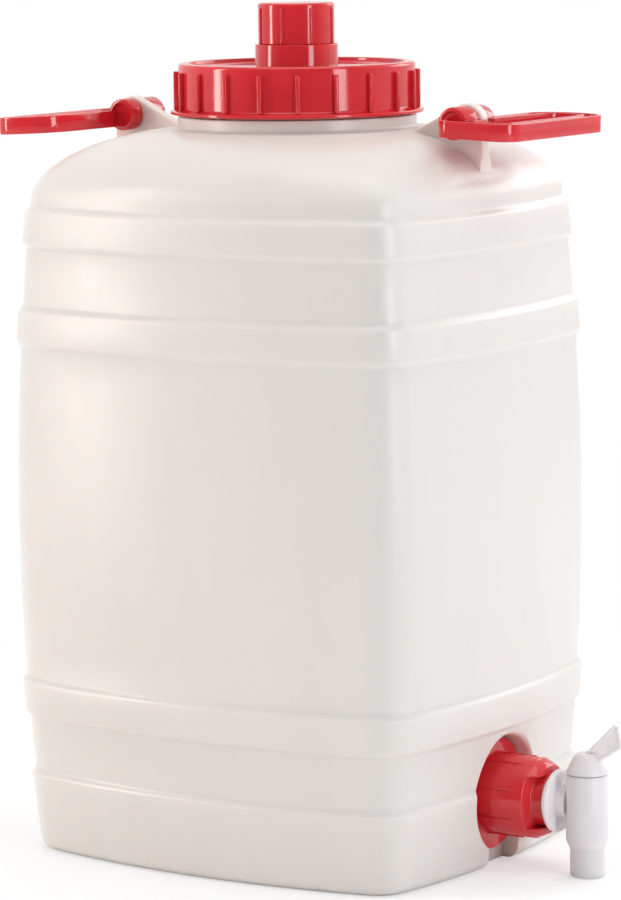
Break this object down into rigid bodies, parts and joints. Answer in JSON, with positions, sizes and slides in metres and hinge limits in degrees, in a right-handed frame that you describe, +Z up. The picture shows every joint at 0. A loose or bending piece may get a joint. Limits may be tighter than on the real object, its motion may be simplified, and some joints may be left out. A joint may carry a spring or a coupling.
{
  "type": "fermenting vessel",
  "caption": "Barrel-shaped translucent fermenting vessel with a red screw lid, vented centre cap, two folding handles and a turning tap in a recess near the foot.",
  "frame": {"origin": "centre of the vessel's flat foot, on the surface that it stands on", "axes": "+Z up along the neck's axis; +X out of the tap, square to the narrow face; +Y along the hinge axes of the handles"},
  "size_m": [0.4196, 0.288, 0.5537],
  "materials": {
    "natural_hdpe": "natural blow-moulded polyethylene, milky and slightly translucent, soft sheen",
    "red_plastic": "glossy injection-moulded red plastic",
    "tap_plastic": "natural white moulded plastic, semi-gloss",
    "washer_rubber": "pale translucent silicone rubber",
    "seal_foam": "pale soft sealing ring"
  },
  "bodies": {
    "vessel_body": {"vessel": "natural_hdpe", "outlet_washer": "washer_rubber", "outlet_union_nut": "red_plastic", "tap_washer": "washer_rubber", "tap_body": "tap_plastic"},
    "tap_plug": {"tap_plug": "tap_plastic"},
    "lid_seal": {"lid_seal": "seal_foam"},
    "lid": {"lid": "red_plastic"},
    "centre_cap_seal": {"centre_cap_seal": "seal_foam"},
    "centre_cap": {"centre_cap": "red_plastic"},
    "handle_right": {"handle_right": "red_plastic"},
    "handle_left": {"handle_left": "red_plastic"}
  },
  "joints": [
    {"name": "tap_turn", "type": "hinge", "parent": "vessel_body", "child": "tap_plug", "pos_m": [0.214, 0, 0.047], "axis": [0, 0, 1], "range_deg": [0, 90]},
    {"name": "lid_rise", "type": "slide", "parent": "vessel_body", "child": "lid_seal", "axis": [0, 0, 1], "range_m": [0, 0.012]},
    {"name": "lid_turn", "type": "hinge", "parent": "lid_seal", "child": "lid", "pos_m": [0, 0, 0.5], "axis": [0, 0, 1], "range_deg": [0, 540]},
    {"name": "cap_rise", "type": "slide", "parent": "lid", "child": "centre_cap_seal", "axis": [0, 0, 1], "range_m": [0, 0.0075]},
    {"name": "cap_turn", "type": "hinge", "parent": "centre_cap_seal", "child": "centre_cap", "pos_m": [0, 0, 0.545], "axis": [0, 0, 1], "range_deg": [0, 540]},
    {"name": "right_handle_fold", "type": "hinge", "parent": "vessel_body", "child": "handle_right", "pos_m": [0.13, 0, 0.479], "axis": [0, -1, 0], "range_deg": [0, 155]},
    {"name": "left_handle_fold", "type": "hinge", "parent": "vessel_body", "child": "handle_left", "pos_m": [-0.13, 0, 0.479], "axis": [0, 1, 0], "range_deg": [0, 155]}
  ],
  "couplings": [
    {"joint": "lid_rise", "follows": "lid_turn", "m_per_rad": 0.0012732},
    {"joint": "cap_rise", "follows": "cap_turn", "m_per_rad": 0.00079577}
  ]
}
